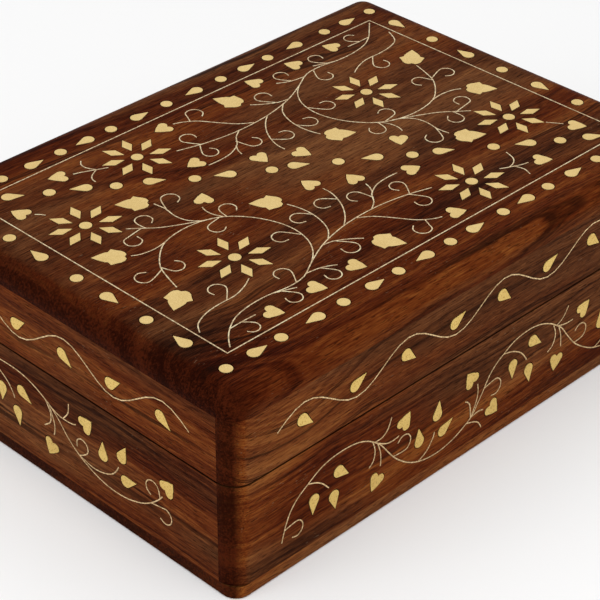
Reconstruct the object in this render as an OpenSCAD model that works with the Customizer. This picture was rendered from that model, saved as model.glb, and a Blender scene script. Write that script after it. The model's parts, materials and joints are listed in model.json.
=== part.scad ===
// Inlaid keepsake box: a butt-jointed hardwood box with a hinged lid, set all
// round with brass flowers, leaves, hearts, drops and dots on brass wire vines.
// Millimetres. +X along the length, -Y is the front, +Z up.
// Origin: the middle of the base, on the surface the box stands on.

/* [Box] */
// Length of the box, left to right
box_l = 178; // [176:1:230]
// Width of the box, front to back, without the hinge barrels
box_w = 128; // [121:1:170]
// Height of the lower box, its bottom board included
body_h = 34.4; // [34:0.2:60]
// Height of the lid, its top board included
lid_h = 26; // [22:0.2:40]
// Gap between the lid and the lower box when the lid is closed
seam_gap = 0.6; // [0.4:0.1:1.2]
// Thickness of the side boards
wall = 6; // [6:0.1:9]
// Radius of the upright corners of the lid and the side boards
corner_r = 6; // [4:0.1:6]
// Thickness of the lid's top board
top_t = 7; // [6.5:0.1:8.5]
// Radius of the round-over along the top board's edges
top_edge_r = 5.8; // [2:0.1:5.8]
// Thickness of the bottom board
base_t = 4; // [3:0.1:4.6]
// Radius of the bottom board's own upright corners
base_corner_r = 4.5; // [2.2:0.1:6]
// Radius of the small round along the bottom board's lower edges
base_edge_r = 0.8; // [0.4:0.1:2]

/* [Inlay] */
// Length of the brass border on the lid, along X
border_l = 151.6; // [140:0.2:153]
// Width of the brass border on the lid, along Y
border_w = 97; // [95:0.2:104]
// Distance from the brass border to the row of dots and drops outside it
row_out = 4.3; // [3:0.1:4.5]
// Thickness of the brass pieces
inlay_t = 1; // [0.6:0.1:1.5]
// How far the brass stands proud of the wood
inlay_proud = 0.05; // [0.02:0.01:0.2]
// Filler gap between a brass piece and its recess
filler_gap = 0.25; // [0.05:0.05:0.35]
// Width of the brass wire
wire_w = 0.32; // [0.2:0.02:0.8]
// Gap between the wire and each side of its groove
groove_gap = 0.1; // [0.02:0.01:0.15]
// Diameter of the brass dots
dot_d = 3.4; // [2.4:0.1:4]
// Length of a brass drop
drop_l = 7.1; // [5:0.1:8]
// Width of a brass drop
drop_w = 3.5; // [2.5:0.1:4]
// Length of a flower's petal
petal_l = 6.5; // [4:0.1:7]
// Width of a flower's petal
petal_w = 3; // [1.5:0.1:3.2]
// Size of a heart across its lobes
heart_s = 5.4; // [4:0.1:6]
// Length of a leaf from tip to base
leaf_l = 9; // [6:0.1:10]

/* [Hinges] */
// Distance from the middle of the box to the middle of each hinge
hinge_x = 52; // [30:1:60]
// Length of a hinge
hinge_l = 20; // [16:0.5:26]
// Outside radius of a hinge's knuckles
barrel_r = 1.8; // [1.6:0.05:1.8]
// Radius of a hinge's pin
pin_r = 0.8; // [0.6:0.05:0.9]
// Running clearance of the pin in the lid leaf's knuckle
pin_clearance = 0.05; // [0.03:0.01:0.1]
// Clearance of the pin in the body leaf's knuckles, where it is held fast
pin_seat = 0.02; // [0.01:0.01:0.02]
// Thickness of a hinge's leaf
leaf_t = 0.9; // [0.7:0.1:1]
// How far the hinge axis lies inside the back face
axis_inset = 0.2; // [0:0.05:0.25]
// Length of a leaf from the hinge axis into the box
leaf_reach = 5.2; // [5.1:0.1:5.6]
// Gap between two knuckles, and between a hinge and the wood beside it
hinge_gap = 0.3; // [0.2:0.05:0.4]
// Half the gap between the two closed leaves
leaf_gap = 0.2; // [0.2:0.05:0.4]

/* [Screws] */
// Radius of a screw's shank
screw_r = 0.8; // [0.6:0.05:0.9]
// Radius of a screw's countersunk head
screw_head_r = 1.3; // [1.1:0.05:1.35]
// Length of a screw
screw_l = 6; // [4:0.5:9]
// Gap between a screw and the wood or brass around it
screw_gap = 0.05; // [0.02:0.01:0.1]
// Distance from a hinge's middle to each of a leaf's two screws
screw_x = 6.4; // [4:0.1:7]
// Distance from the hinge axis to the screws
screw_inset = 3.6; // [3.5:0.05:3.7]

/* [Lining] */
// Thickness of the velvet pads
lining_t = 1.5; // [1:0.1:3]
// Gap between a pad and the boards around it
lining_gap = 0.5; // [0.2:0.1:1]

/* [Hidden] */

WOOD = [0.36, 0.17, 0.09];
WOOD_LIGHT = [0.45, 0.23, 0.12];
BRASS = [0.84, 0.74, 0.46];
WIRE = [0.78, 0.65, 0.50];
HINGE = [0.70, 0.62, 0.42];
VELVET = [0.32, 0.05, 0.07];

ROUND = 64;
FINE = 32;
CUT = 0.5;

// Heights of the boards, from the ground up
seam_z = body_h + seam_gap / 2;
lid_z = body_h + seam_gap;
top_z = lid_z + lid_h;
rim_h = lid_h - top_t;
board_h = body_h - base_t;

// The round-over always stays a little inside the round of the corners
top_round = min(top_edge_r, corner_r - 0.2);

// Inside of the box
inner_l = box_l - 2 * wall;
inner_w = box_w - 2 * wall;

// The pattern is laid out on a grid of 100 steps along the border's length
grid = border_l / 100;
grid_w = border_w / grid;
row_step = row_out / grid;

// Hinge geometry
axis_y = box_w / 2 - axis_inset;
knuckle_l = (hinge_l - 2 * hinge_gap) / 3;
notch_r = barrel_r + hinge_gap;
screw_y = axis_y - screw_inset;

// ---------------------------------------------------------------- boards

// Section of a moulded edge: x = 0 is the inner side, the round is at the top
module edge_section(r, t, edge) {
    square([r, t - edge]);
    square([r - edge, t]);
    translate([r - edge, t - edge])
        intersection() {
            circle(r = edge, $fn = ROUND);
            square(edge);
        }
}

// A slab with rounded upright corners and a round-over along its top edges
module moulded_slab(l, w, t, r, edge) {
    in_l = l - 2 * r;
    in_w = w - 2 * r;
    translate([-in_l / 2, -in_w / 2, 0])
        cube([in_l, in_w, t]);
    for (side = [0, 180])
        rotate(side) {
            translate([in_l / 2, in_w / 2, 0])
                rotate([90, 0, 0])
                    linear_extrude(in_w)
                        edge_section(r, t, edge);
            translate([-in_l / 2, in_w / 2, 0])
                rotate([90, 0, 90])
                    linear_extrude(in_l)
                        edge_section(r, t, edge);
            translate([in_l / 2, in_w / 2, 0])
                rotate_extrude(angle = 90, $fn = ROUND)
                    edge_section(r, t, edge);
            translate([-in_l / 2, in_w / 2, 0])
                rotate(90)
                    rotate_extrude(angle = 90, $fn = ROUND)
                        edge_section(r, t, edge);
        }
}

// A long board along the front, with its two outer corners rounded
module long_board(h) {
    straight = box_l - 2 * corner_r;
    linear_extrude(h)
        translate([0, -box_w / 2])
            intersection() {
                union() {
                    translate([-straight / 2, 0])
                        square([straight, wall]);
                    for (side = [-1, 1])
                        translate([side * straight / 2, corner_r])
                            circle(r = corner_r, $fn = ROUND);
                    if (corner_r < wall)
                        translate([-box_l / 2, corner_r])
                            square([box_l, wall - corner_r]);
                }
                translate([-box_l / 2, 0])
                    square([box_l, wall]);
            }
}

// An end board, held between the two long boards
module end_board(h) {
    translate([-box_l / 2, -inner_w / 2, 0])
        cube([wall, inner_w, h]);
}

// ---------------------------------------------------------------- brass shapes

// Round points of an arc about c
function arc(c, r, from, to, n) =
    [for (i = [0:n]) let (a = from + (to - from) * i / n) c + r * [cos(a), sin(a)]];

// A smooth curve through the given points, three steps to each stretch
function smooth(p) =
    let (last = len(p) - 1)
    concat(
        [for (i = [0:last - 1], s = [0:2])
            let (
                a = p[max(i - 1, 0)],
                b = p[i],
                c = p[i + 1],
                d = p[min(i + 2, last)],
                t = s / 3
            )
            b + t * (c - a) / 2
                + t * t * (2 * a - 5 * b + 4 * c - d) / 2
                + t * t * t * (3 * b - a - 3 * c + d) / 2],
        [p[last]]
    );

// The direction of a path at its point i, as a unit vector
function heading(p, i) =
    let (d = p[min(i + 1, len(p) - 1)] - p[max(i - 1, 0)])
    d / norm(d);

// A line of wire: the path, widened evenly to both sides
module wire(path, gap) {
    half = wire_w / 2 + gap;
    last = len(path) - 1;
    left = [for (i = [0:last]) let (h = heading(path, i)) path[i] + half * [-h[1], h[0]]];
    right = [for (i = [last:-1:0]) let (h = heading(path, i)) path[i] + half * [h[1], -h[0]]];
    polygon(concat(left, right));
}

module dot(gap) {
    circle(r = dot_d / 2 + gap, $fn = FINE);
}

// A drop: a round end at the origin's left and a point to the right
module drop(gap) {
    r = drop_w / 2 + gap;
    tip = drop_l - r - drop_w / 2 + 2 * gap;
    lean = acos(r / (tip + r / 2));
    translate([-tip / 2 + r / 2, 0])
        polygon(concat([[tip + r / 2, 0]], arc([0, 0], r, lean, 360 - lean, 12)));
}

// A petal: a lozenge lying along X
module petal(gap) {
    l = petal_l / 2 + gap;
    w = petal_w / 2 + gap;
    polygon([[l, 0], [0, w], [-l, 0], [0, -w]]);
}

// A heart whose point looks along X
module heart(gap) {
    s = (heart_s + 2 * gap) / 4;
    polygon(concat(
        [[2.4 * s, 0], [1.3 * s, s]],
        arc([-0.5 * s, s], s, 40, 225, 7),
        [[-0.9 * s, 0]],
        arc([-0.5 * s, -s], s, 135, 320, 7),
        [[1.3 * s, -s]]
    ));
}

// A leaf whose point looks along X: a blade, a notch, two barbs and a cleft foot
module leaf(gap) {
    s = (leaf_l + 2 * gap) / 8;
    half = [
        [4.2, 0], [2.2, 1.4], [1.1, 2.0], [0.4, 2.1], [-0.3, 3.3],
        [-1.4, 2.8], [-2.6, 2.4], [-3.4, 1.8], [-3.8, 0.9], [-3.4, 0]
    ];
    other = [for (i = [len(half) - 2:-1:1]) [half[i][0], -half[i][1]]];
    polygon(s * concat(half, other));
}

// Sinks flat brass shapes into a face: the solid runs from the face down
module inlaid(depth, proud) {
    translate([0, 0, -depth])
        linear_extrude(depth + proud)
            children();
}

// ---------------------------------------------------------------- the lid's pattern
// Positions are in grid steps from the border's left front corner, angles in degrees.

// Stems of one half of the pattern. The first two grow from roots at the border.
TOP_STEMS = [
    [[3, 2.9], [5, 4.7], [8, 6.4], [12, 7.2], [16, 7.2], [20, 6.6], [24, 7], [28, 9.2],
        [33, 11.6], [38, 13], [43, 13.7], [49, 13.7], [55, 12.8], [60.2, 11.3]],
    [[2.3, 9.2], [5.3, 10.5], [8.5, 10.9], [12, 10.9], [15, 11.8], [17.2, 13]],
    [[28, 9.2], [30.5, 11.3], [32.5, 14.5], [33.3, 18.5], [32.7, 22.5], [30.8, 26.5], [27.8, 29.8],
        [24, 31.5], [19.5, 31.9], [15, 31], [11.8, 28.8], [9.2, 25.8], [7.9, 22.5], [7, 19.4]],
    [[15, 31], [12.3, 30.6], [9.5, 31], [8, 31.8]],
    [[25.5, 30.9], [21.5, 32.8], [17.5, 35], [14.8, 37.3], [13, 38.8]],
    [[24.3, 31.3], [22.4, 33.3], [21.8, 36], [22.2, 39], [21.9, 41.6]],
    [[27.6, 29.9], [26.8, 31.8], [26.7, 33.6], [27.1, 34.9]],
    [[35, 12.2], [37.2, 14.3], [38.5, 17.2], [39, 20.2], [38.8, 23], [38.2, 25.2]],
    [[40, 13.3], [42.3, 15.2], [44.4, 17.8], [45.8, 20.6], [46.4, 22.8], [46.4, 24.6]],
    [[47.3, 13.7], [49.5, 15.2], [51.2, 17.3], [54, 18.8], [57, 19.2], [59.6, 19.1]],
    [[51.6, 17.5], [52.5, 19], [52.9, 20.4]],
    [[43.5, 13.6], [46, 11.8], [48.4, 8.6], [50.3, 5.9], [52.5, 4.2], [54.2, 3.5]],
    [[33, 11.6], [35.3, 11.2], [37.8, 9.7], [39.6, 8.2]],
    [[5, 4.6], [7.5, 4.7], [10.6, 4.6]],
    [[17, 7], [19.2, 6.2], [20.9, 5.5]],
    [[25, 7.4], [28, 6.9], [30.5, 5.6]]
];

// Stalks: short lengths from a flower to its heart, and the pair of leaves on one
TOP_STALKS = [
    [[73.6, 7.2], [75.3, 6.3], [77.7, 5.3], [79, 5]],
    [[75.3, 6.3], [77, 6.8], [78.3, 8], [79, 10.2]],
    [[76.2, 5.9], [76.7, 4], [76.1, 2.2]],
    [[6.2, 51.9], [5.6, 52.8], [5, 53.4]]
];
FAR_STALKS = [
    [[75.5, 7.4], [77.5, 6.5], [80, 5.3], [81.5, 4.8]],
    [[77.5, 6.5], [78.4, 4.7], [78.3, 3.2], [77.5, 2.2]],
    [[77.6, 6.5], [79.4, 7.5], [80.2, 8.5], [80.4, 9.6]],
    [[7.3, 51.8], [6.3, 53.2], [5.5, 54.4]]
];

// Tendrils: where each leaves its stem, the middle, radius and two angles of its curl
TOP_TENDRILS = [
    [[7.5, 4.7], [7.7, 2.5], 1.4, 50, -165],
    [[18.3, 6.5], [18.5, 3.8], 1.5, 45, -215],
    [[27.8, 6.9], [27.9, 4.1], 1.5, 45, -215],
    [[22, 6.8], [22.1, 10], 1.6, -35, 205],
    [[10.3, 11], [11.2, 14.2], 1.6, -35, 210],
    [[32.9, 16.6], [29.9, 18.4], 1.6, 35, 285],
    [[26.8, 30.3], [24.4, 28.3], 1.6, 90, 320],
    [[28, 29.7], [29.9, 31.4], 1.6, 165, -65],
    [[8.7, 25], [5.1, 25.3], 1.6, -60, -325],
    [[9.1, 25.8], [11.2, 24.3], 1.6, 185, 415],
    [[38.9, 19.8], [36.4, 20.5], 1.6, 40, 275],
    [[45.7, 20.2], [42.8, 21], 1.6, 40, 280],
    [[50.5, 16.2], [48.5, 18.6], 1.6, 0, 235],
    [[56, 12.8], [56.3, 15.9], 1.5, -35, 235],
    [[55.5, 12.8], [55.8, 9.4], 1.6, 45, -210],
    [[51.4, 5], [49, 3.4], 1.7, 0, -255],
    [[35.4, 11.2], [35.9, 7.8], 1.7, 50, -210],
    [[15.6, 36.6], [17, 38.7], 1.6, 190, -75],
    [[15, 37.1], [11.3, 35], 1.6, 75, 385],
    [[22.1, 38.4], [25, 40.8], 1.7, 165, -85]
];

// Leaves: middle, and the angle of the point, in the near half and in the far
// half, which is turned end for end and set by hand a little differently
TOP_LEAVES = [[4.6, 16.5, 215], [5.2, 34, 140], [19.3, 44.2, 142], [36, 28.1, 142], [41.9, 4.6, -58]];
FAR_LEAVES = [[5.7, 16.8, 222], [5.8, 34.6, 132], [21, 45.1, 145], [37.5, 28, 148], [43.4, 4.6, -64]];

// Hearts: middle, and the angle of the point
TOP_HEARTS = [
    [13, 3.3, -52], [23, 3.5, -52], [32.4, 3.5, -58], [56.9, 2.9, -25], [45.8, 27, 98],
    [52.7, 22.9, 88], [62.2, 18.2, -12], [29, 36.6, 55], [81.4, 4.1, -42], [3.5, 55.1, 110]
];
FAR_HEARTS = [
    [13.6, 2.9, -60], [24.2, 3, -60], [34.8, 2.9, -63], [58.9, 3.7, -2], [47.3, 27.7, 107],
    [53.9, 23.8, 88], [63.3, 17.2, 0], [31.2, 36.9, 53], [83.8, 3.8, -23], [4.4, 56.3, 126]
];

// Flowers: their middles
TOP_FLOWERS = [[20, 19.3], [8.9, 44.5], [66.8, 7.8]];
FAR_FLOWERS = [[22.3, 20.3], [10.6, 45.6], [69.4, 8.2]];
FLOWER_TURN = 27;
FLOWER_R = 4.6;

// The far half's stems are drawn out a little along X: their stretch and shift,
// and each half's two roots at the border
FAR_STRETCH = 1.04;
FAR_SHIFT = [0.3, 0.3];
NEAR_ROOTS = [[1.4, 0.9], [0.8, 7.2]];
FAR_ROOTS = [[0.8, 0.8], [0.9, 6.2]];

// The row across the middle, from the border's middle: its slope, dots and drops
MIDDLE_SLOPE = -33;
MIDDLE_DOTS = [
    [-38.5, 25.3], [-28.7, 18.8], [-17.2, 10.9], [-5.4, 3.5],
    [5.1, -2.8], [16.3, -10.5], [28.9, -18.9], [39.3, -25.9]
];
MIDDLE_DROPS = [
    [-44.1, 28.9], [-33.4, 22.4], [-23, 15.5], [-12.2, 8], [-1, 1.5],
    [10.7, -6.2], [21.2, -13.3], [34.2, -22.3], [44.5, -29.1]
];

// The rows outside the border, set by eye: front and back along X, left and
// right along Y, the corner dots in the front and back rows
FRONT_DOTS = [-3, 9, 23.2, 36.3, 49.2, 62.9, 75, 88.7, 103];
FRONT_DROPS = [3.6, 16.8, 30.5, 42.9, 55.5, 69, 82, 96];
BACK_DOTS = [-3, 8.5, 22, 34, 47.7, 61.7, 74.2, 90, 103];
BACK_DROPS = [2.8, 15.7, 27.9, 40.8, 54.8, 68.3, 81.6, 96.4];
LEFT_DOTS = [15.8, 33, 50.5];
LEFT_DROPS = [7.2, 24.9, 42.6, 59.5];
RIGHT_DOTS = [13, 31.5, 49.6];
RIGHT_DROPS = [5, 22.2, 40.7, 59.2];

// Draws on the lid's top face, in millimetres from the border's corner
module on_top() {
    translate([-border_l / 2, -border_w / 2, top_z])
        children();
}

// Puts a shape at a grid position, turned
module at_grid(p, angle = 0) {
    translate(grid * [p[0], p[1]])
        rotate(angle)
            children();
}

// Turns a half pattern about the middle of the border
module far_half() {
    translate([border_l, border_w])
        rotate(180)
            children();
}

// The path of a tendril, in grid steps
function tendril(t) = smooth(concat([t[0]], arc(t[1], t[2], t[3], t[4], 5)));

// A point of the near half's stems, or of the far half's
function drawn(p, is_far) = is_far ? [FAR_STRETCH * p[0], p[1]] + FAR_SHIFT : p;

module top_vine_2d(is_far, gap) {
    roots = is_far ? FAR_ROOTS : NEAR_ROOTS;
    for (i = [0:len(TOP_STEMS) - 1]) {
        stem = [for (p = TOP_STEMS[i]) drawn(p, is_far)];
        wire(grid * smooth(i < len(roots) ? concat([roots[i]], stem) : stem), gap);
    }
    for (stalk = is_far ? FAR_STALKS : TOP_STALKS)
        wire(grid * smooth(stalk), gap);
    for (t = TOP_TENDRILS)
        wire(grid * tendril([drawn(t[0], is_far), drawn(t[1], is_far), t[2], t[3], t[4]]), gap);
}

module border_wire_2d(gap) {
    half = wire_w / 2 + gap;
    difference() {
        translate([-half, -half])
            square([border_l + 2 * half, border_w + 2 * half]);
        translate([half, half])
            square([border_l - 2 * half, border_w - 2 * half]);
    }
}

module border_dots_2d(gap) {
    for (x = FRONT_DOTS)
        at_grid([x, -row_step])
            dot(gap);
    for (x = BACK_DOTS)
        at_grid([x, grid_w + row_step])
            dot(gap);
    for (y = LEFT_DOTS)
        at_grid([-row_step, y])
            dot(gap);
    for (y = RIGHT_DOTS)
        at_grid([100 + row_step, y])
            dot(gap);
}

// The drops of a row point one way and the other by turns
module border_drops_2d(gap) {
    for (i = [0:len(FRONT_DROPS) - 1]) {
        at_grid([FRONT_DROPS[i], -row_step], 180 * (i % 2))
            drop(gap);
        at_grid([BACK_DROPS[i], grid_w + row_step], 180 * ((i + 1) % 2))
            drop(gap);
    }
    for (i = [0:len(LEFT_DROPS) - 1]) {
        at_grid([-row_step, LEFT_DROPS[i]], 90 - 180 * (i % 2))
            drop(gap);
        at_grid([100 + row_step, RIGHT_DROPS[i]], 90 - 180 * (i % 2))
            drop(gap);
    }
}

module middle_dots_2d(gap) {
    for (p = MIDDLE_DOTS)
        at_grid([50, grid_w / 2] + p)
            dot(gap);
}

module middle_drops_2d(gap) {
    for (i = [0:len(MIDDLE_DROPS) - 1])
        at_grid([50, grid_w / 2] + MIDDLE_DROPS[i], MIDDLE_SLOPE + 180 * (i % 2))
            drop(gap);
}

module petals(flowers, gap) {
    for (f = flowers, i = [0:7])
        at_grid(f, FLOWER_TURN + 45 * i)
            translate([grid * FLOWER_R, 0])
                petal(gap);
}

module flower_petals_2d(gap) {
    petals(TOP_FLOWERS, gap);
    far_half()
        petals(FAR_FLOWERS, gap);
}

// The same shape at each of a list of places: middle and angle
module set_out(places) {
    for (p = places)
        at_grid(p, len(p) > 2 ? p[2] : 0)
            children();
}

module flower_centres_2d(gap) {
    set_out(TOP_FLOWERS)
        dot(gap);
    far_half()
        set_out(FAR_FLOWERS)
            dot(gap);
}

module top_leaves_2d(gap) {
    set_out(TOP_LEAVES)
        leaf(gap);
    far_half()
        set_out(FAR_LEAVES)
            leaf(gap);
}

module top_hearts_2d(gap) {
    set_out(TOP_HEARTS)
        heart(gap);
    far_half()
        set_out(FAR_HEARTS)
            heart(gap);
}

// ---------------------------------------------------------------- the sides' patterns
// A side's own plane has x to the right as seen from outside, measured from the
// middle of the side, and y up. Waves are measured from the lid's top, vines
// from VINE_LEVEL steps above the rim of the lower box.
VINE_LEVEL = 17.5;
vine_z = body_h + VINE_LEVEL * grid;

// The wave on the lid's sides: its step from crest to crest and its rise; for a
// long side and an end where it starts and ends, a crest, its level and climb
WAVE_STEP = 24.2;
WAVE_RISE = 2.75;
LONG_WAVE = [-49.2, 49.2, 5.4, -9.5, 0.02];
END_WAVE = [-32.2, 32.2, 1.8, -10.6, 0];
CREST_DROP = [-0.1, -0.9, -36];
TROUGH_DROP = [-0.1, -0.1, 27];

LONG_STEMS = [
    [[-48.3, -33.5], [-47.5, -30.7], [-46.4, -28.2], [-44.7, -26.2], [-42.3, -24.6], [-39.7, -23.1],
        [-37, -22.3], [-33.7, -22.1], [-31, -22.4], [-28.7, -23.2], [-26.7, -24.5], [-25, -26],
        [-23.7, -27.7], [-21.8, -30.2], [-20, -32], [-17.7, -33.7], [-15.3, -34.8], [-12.7, -35.4],
        [-9.9, -35.5], [-7.4, -35.1], [-5, -34.3], [-1.7, -32.5], [-0.2, -30.4], [1.2, -28.3],
        [2.7, -25.8], [4.6, -24], [6.5, -22.9], [8.8, -21.7], [11.2, -21.2], [13.8, -21.1],
        [16.5, -21.6], [19.2, -22.8], [21.2, -24.2], [22.7, -25.5], [24, -27.3], [25.8, -29.6],
        [27.3, -31.2], [30, -33.2], [32.7, -34.6], [35.5, -35.3], [38.5, -35.4], [41.5, -34.8],
        [44.5, -33.6], [47.2, -32.4], [49.7, -32.6]],
    [[-42.3, -24.6], [-40.3, -25.4], [-38.8, -26.5], [-37.4, -28.1]],
    [[-26.4, -24.6], [-24.7, -24.6], [-23.3, -23.5], [-22.5, -21.5]],
    [[-25.8, -25.2], [-23.7, -26.4], [-22, -26.7], [-20.5, -26.5]],
    [[-27, -24.3], [-26.4, -26.3], [-26.7, -28.3], [-27.8, -29.4]],
    [[-25.9, -25], [-25.1, -27.3], [-24.9, -29.3], [-25, -30.4]],
    [[-15.3, -34.8], [-13.3, -33.7], [-11.8, -31.8], [-11.4, -30.6]],
    [[-1.9, -32.5], [-0.8, -30.4], [-0.2, -28.1], [-0.4, -26]],
    [[-1.9, -32.5], [-2.3, -29.4], [-3.5, -28.3]],
    [[-1.7, -32.5], [0.2, -32.2], [1.5, -32.5]],
    [[-2.8, -33.3], [-0.8, -34], [0.4, -34.8], [1.2, -36.2]],
    [[6.3, -23], [8.8, -23.7], [11, -25], [12.3, -26.5], [12.9, -27.5]],
    [[21.1, -24], [22.7, -23.1], [24, -21.2]],
    [[21.6, -24.4], [23.8, -24.9], [25.6, -24.9]],
    [[20.1, -23.6], [20.8, -25.8], [20.2, -27.9], [18.8, -28.8]],
    [[21.6, -24.5], [22.4, -26.9], [22.6, -29.4]],
    [[33, -34.7], [35, -33.7], [36.5, -31.8], [37, -30.4]],
    [[46.8, -32.5], [47.7, -30.4], [48.3, -28.1], [48.1, -26]],
    [[46.8, -32.5], [46.2, -29.4], [45, -28.3]],
    [[45.7, -33.2], [47.7, -34], [48.9, -34.8], [49.7, -36.2]]
];
LONG_TENDRILS = [
    [[-47.6, -31.2], [-45, -32.3], 1.6, 105, -125],
    [[-21.8, -30.2], [-19.2, -28.7], 1.7, -80, 155],
    [[1.5, -27.9], [4.3, -29], 1.7, 110, -120],
    [[26.6, -30.5], [28.1, -28.7], 1.7, -65, 155]
];
LONG_HEARTS = [
    [-25.9, -33, 238], [-19.2, -24.4, 52], [-2.1, -24.3, 124], [3.9, -33.3, -46],
    [21.5, -31.9, 256], [28.4, -24, 38], [46.3, -24.2, 124], [52, -33.3, -46]
];
LONG_DROPS = [
    [-40.9, -29.3, -97], [-36.1, -31.1, -83], [-34.6, -26.3, -35],
    [-15.3, -30, 95], [-10.7, -26.7, 82], [-8.7, -31.1, 30],
    [9.1, -27.4, -90], [13.7, -30.5, -83], [14.8, -24.4, -32],
    [34.1, -29.1, 95], [38.3, -26.2, 82], [40.3, -30.5, 30]
];

END_STEMS = [
    [[-30.3, -33.2], [-29.2, -29], [-27, -25.5], [-24, -22.9], [-20.5, -21.5], [-16.5, -20.9],
        [-13, -20.8], [-10.3, -21], [-7.5, -21.7], [-4.8, -22.9], [-2.5, -24.3], [-0.7, -26],
        [0.8, -27.8], [2.5, -29.4], [4.5, -30.8], [7, -32], [10.2, -33], [13.4, -33.3],
        [16.5, -33], [19.7, -32], [22, -30.7], [24, -29], [25.2, -27.6]],
    [[-21.6, -21.9], [-18.8, -22.3], [-16.3, -23.4], [-14.4, -24.8], [-13.2, -26.4], [-12.8, -27.4]],
    [[0.4, -24.8], [1.8, -23], [2.1, -20.9]],
    [[-2.8, -24.1], [-0.3, -24.9], [2.5, -24.8], [3.7, -24.4]],
    [[-4.1, -23.3], [-3, -25.5], [-3.2, -27.5], [-4.8, -28.9]],
    [[-3.2, -24], [-2.2, -26.8], [-2.1, -28.6], [-2.4, -29.8]],
    [[4.3, -30.6], [7.5, -31.3], [10.2, -31], [12.5, -30], [13.8, -28.6], [14.4, -27.5]]
];
END_TENDRILS = [
    [[4.2, -30.6], [5.1, -28.3], 1.5, -60, 205],
    [[24.6, -28.2], [22.8, -27.2], 1.6, 30, 255],
    [[22.3, -30.5], [25.7, -31.4], 1.6, 120, -140],
    [[-29.7, -31], [-27.2, -31.8], 1.6, 105, -125]
];
END_HEARTS = [[6.3, -23.1, 42], [-3.3, -32.7, 249], [26.5, -25.2, 50]];
END_DROPS = [
    [-16.2, -27.3, -95], [-12.2, -30.6, -82], [-10.2, -25.2, -30],
    [10.5, -26.6, 90], [15.5, -24.5, 67], [16.6, -29.4, 20]
];

module wave_2d(wave, gap) {
    count = round((wave[1] - wave[0]) * 12 / WAVE_STEP);
    path = [for (i = [0:count])
        let (x = wave[0] + (wave[1] - wave[0]) * i / count)
        grid * [x, wave[3] + wave[4] * x + WAVE_RISE * cos(360 * (x - wave[2]) / WAVE_STEP)]];
    wire(path, gap);
}

// A drop hangs under each crest of the wave and stands over each trough
module wave_drops_2d(wave, gap) {
    half_step = WAVE_STEP / 2;
    for (i = [ceil((wave[0] - wave[2]) / half_step):floor((wave[1] - wave[2]) / half_step)]) {
        place = i % 2 == 0 ? CREST_DROP : TROUGH_DROP;
        x = wave[2] + i * half_step;
        at_grid([x + place[0], wave[3] + wave[4] * x + place[1]], place[2])
            drop(gap);
    }
}

module vine_2d(is_long, gap) {
    for (stem = is_long ? LONG_STEMS : END_STEMS)
        wire(grid * smooth(stem), gap);
    for (t = is_long ? LONG_TENDRILS : END_TENDRILS)
        wire(grid * tendril(t), gap);
}

module vine_hearts_2d(is_long, gap) {
    set_out(is_long ? LONG_HEARTS : END_HEARTS)
        heart(gap);
}

module vine_drops_2d(is_long, gap) {
    set_out(is_long ? LONG_DROPS : END_DROPS)
        drop(gap);
}

// Stands a pattern up on a side, at a level: the front is 0, then 90 degrees to
// the right side, and so on
module on_side(turn, level) {
    out = turn % 180 == 0 ? box_w / 2 : box_l / 2;
    rotate(turn)
        translate([0, -out, level])
            rotate([90, 0, 0])
                children();
}

// ---------------------------------------------------------------- recesses
// The depth of every recess takes the brass and leaves it standing proud.

module recess() {
    inlaid(inlay_t - inlay_proud, CUT)
        children();
}

module brass() {
    color(BRASS)
        inlaid(inlay_t - inlay_proud, inlay_proud)
            children();
}

module brass_wire() {
    color(WIRE)
        inlaid(inlay_t - inlay_proud, inlay_proud)
            children();
}

module lid_side_recesses(turn, wave) {
    on_side(turn, top_z) {
        recess()
            wave_2d(wave, groove_gap);
        recess()
            wave_drops_2d(wave, filler_gap);
    }
}

module body_side_recesses(turn, is_long) {
    on_side(turn, vine_z) {
        recess()
            vine_2d(is_long, groove_gap);
        recess()
            vine_hearts_2d(is_long, filler_gap);
        recess()
            vine_drops_2d(is_long, filler_gap);
    }
}

// ---------------------------------------------------------------- hinges and screws

// A cylinder along X on the hinge axis
module axle(from, to, r) {
    translate([from, axis_y, seam_z])
        rotate([0, 90, 0])
            cylinder(r = r, h = to - from, $fn = ROUND);
}

// A screw: point down, with the top of its head at z = 0
module screw() {
    head_h = screw_head_r - screw_r;
    point_h = 2 * screw_r;
    slot_w = 0.4;
    slot_h = 0.35;
    difference() {
        union() {
            translate([0, 0, -head_h])
                cylinder(r1 = screw_r, r2 = screw_head_r, h = head_h, $fn = FINE);
            translate([0, 0, point_h - screw_l])
                cylinder(r = screw_r, h = screw_l - point_h - head_h, $fn = FINE);
            translate([0, 0, -screw_l])
                cylinder(r1 = 0.1, r2 = screw_r, h = point_h, $fn = FINE);
        }
        translate([-screw_head_r, -slot_w / 2, -slot_h])
            cube([2 * screw_head_r, slot_w, slot_h + CUT]);
    }
}

// The hole that a screw needs: a shank hole and a countersink
module screw_hole() {
    head_h = screw_head_r - screw_r;
    translate([0, 0, -screw_l - screw_gap])
        cylinder(r = screw_r + screw_gap, h = screw_l + screw_gap + CUT, $fn = FINE);
    translate([0, 0, -head_h - screw_gap])
        cylinder(r1 = screw_r, r2 = screw_head_r + screw_gap, h = head_h + screw_gap, $fn = FINE);
    translate([0, 0, 0])
        cylinder(r = screw_head_r + screw_gap, h = CUT, $fn = FINE);
}

// Puts screws or holes at both hinges' screw places; up = 1 for the lid's leaf, -1 for the box's
module at_screws(up, centres) {
    for (x = centres, side = [-1, 1])
        translate([x + side * screw_x, screw_y, seam_z + up * leaf_gap])
            rotate([up > 0 ? 180 : 0, 0, 0])
                children();
}

// The bore-and-barrel of a hinge's three knuckles: which = 0 for the outer two, 1 for the middle
module knuckles(x, which, r) {
    step = knuckle_l + hinge_gap;
    for (i = which == 0 ? [0, 2] : [1])
        axle(x - hinge_l / 2 + i * step, x - hinge_l / 2 + i * step + knuckle_l, r);
}

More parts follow.
